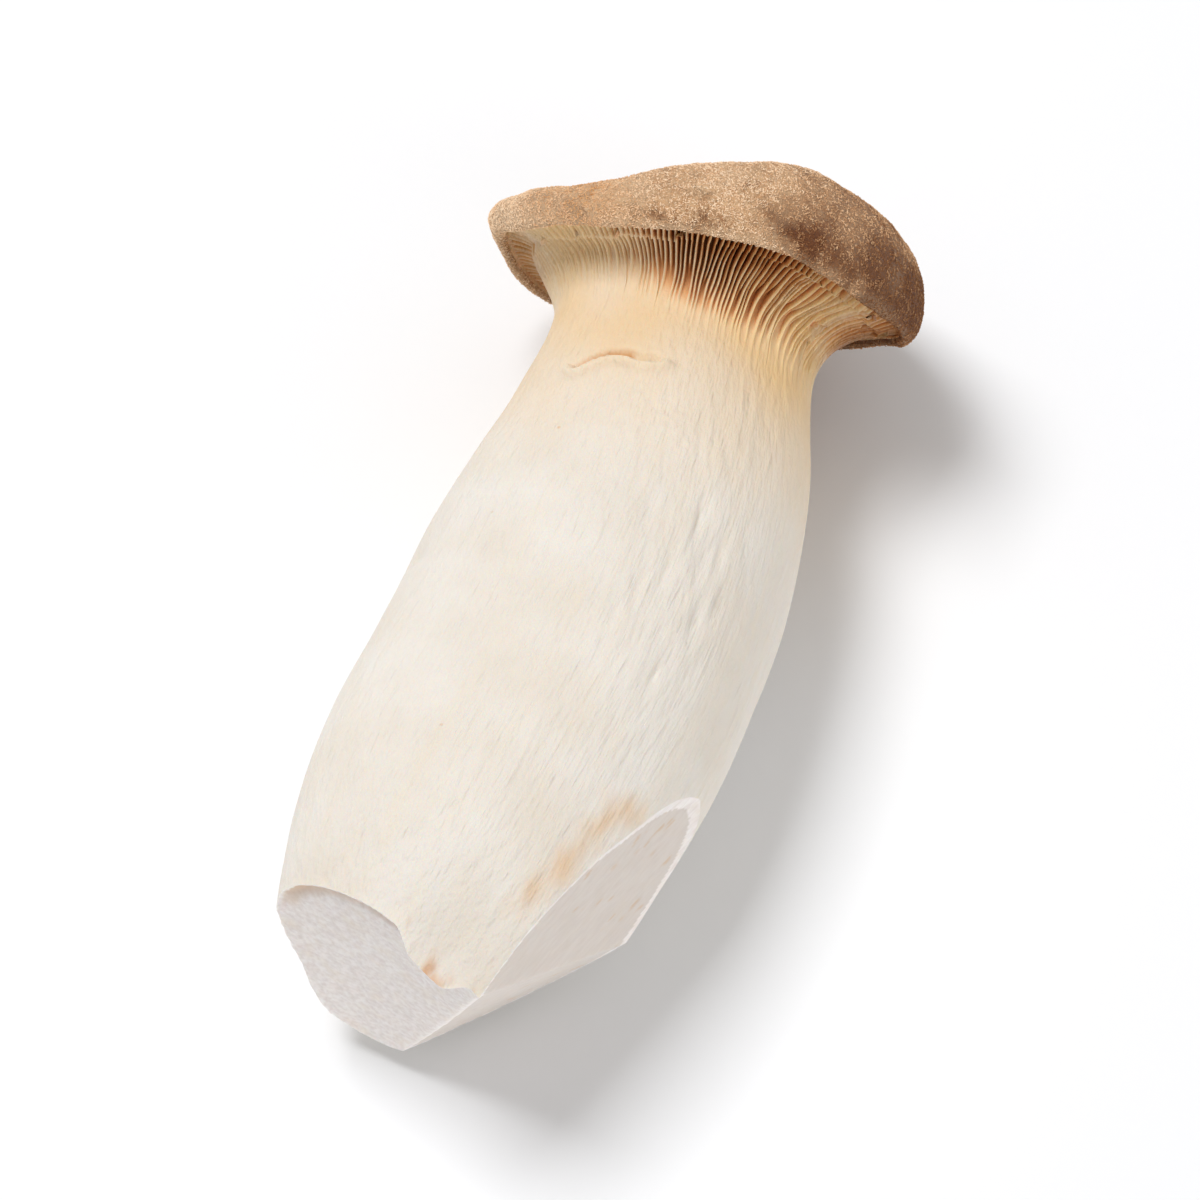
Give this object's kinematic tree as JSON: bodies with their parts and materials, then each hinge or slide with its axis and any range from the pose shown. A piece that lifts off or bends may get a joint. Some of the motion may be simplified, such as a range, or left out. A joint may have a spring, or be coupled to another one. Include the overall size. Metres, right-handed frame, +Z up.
{
  "type": "king oyster mushroom",
  "caption": "Fresh king oyster mushroom lying on its side: stout curved stem, knife-trimmed foot, gills running down the neck and a thick rolled cap.",
  "frame": {"origin": "bottom centre of the bounding box, on the surface the mushroom lies on", "axes": "+Z up, +Y along the stem from the trimmed foot to the cap, +X to the right when looking from the foot to the cap"},
  "size_m": [0.068, 0.1436, 0.0597],
  "materials": {
    "flesh": "matte cream flesh",
    "cap_felt": "matte brown felt of short fibres"
  },
  "bodies": {
    "root": {"king_oyster_mushroom": "flesh"}
  },
  "joints": []
}
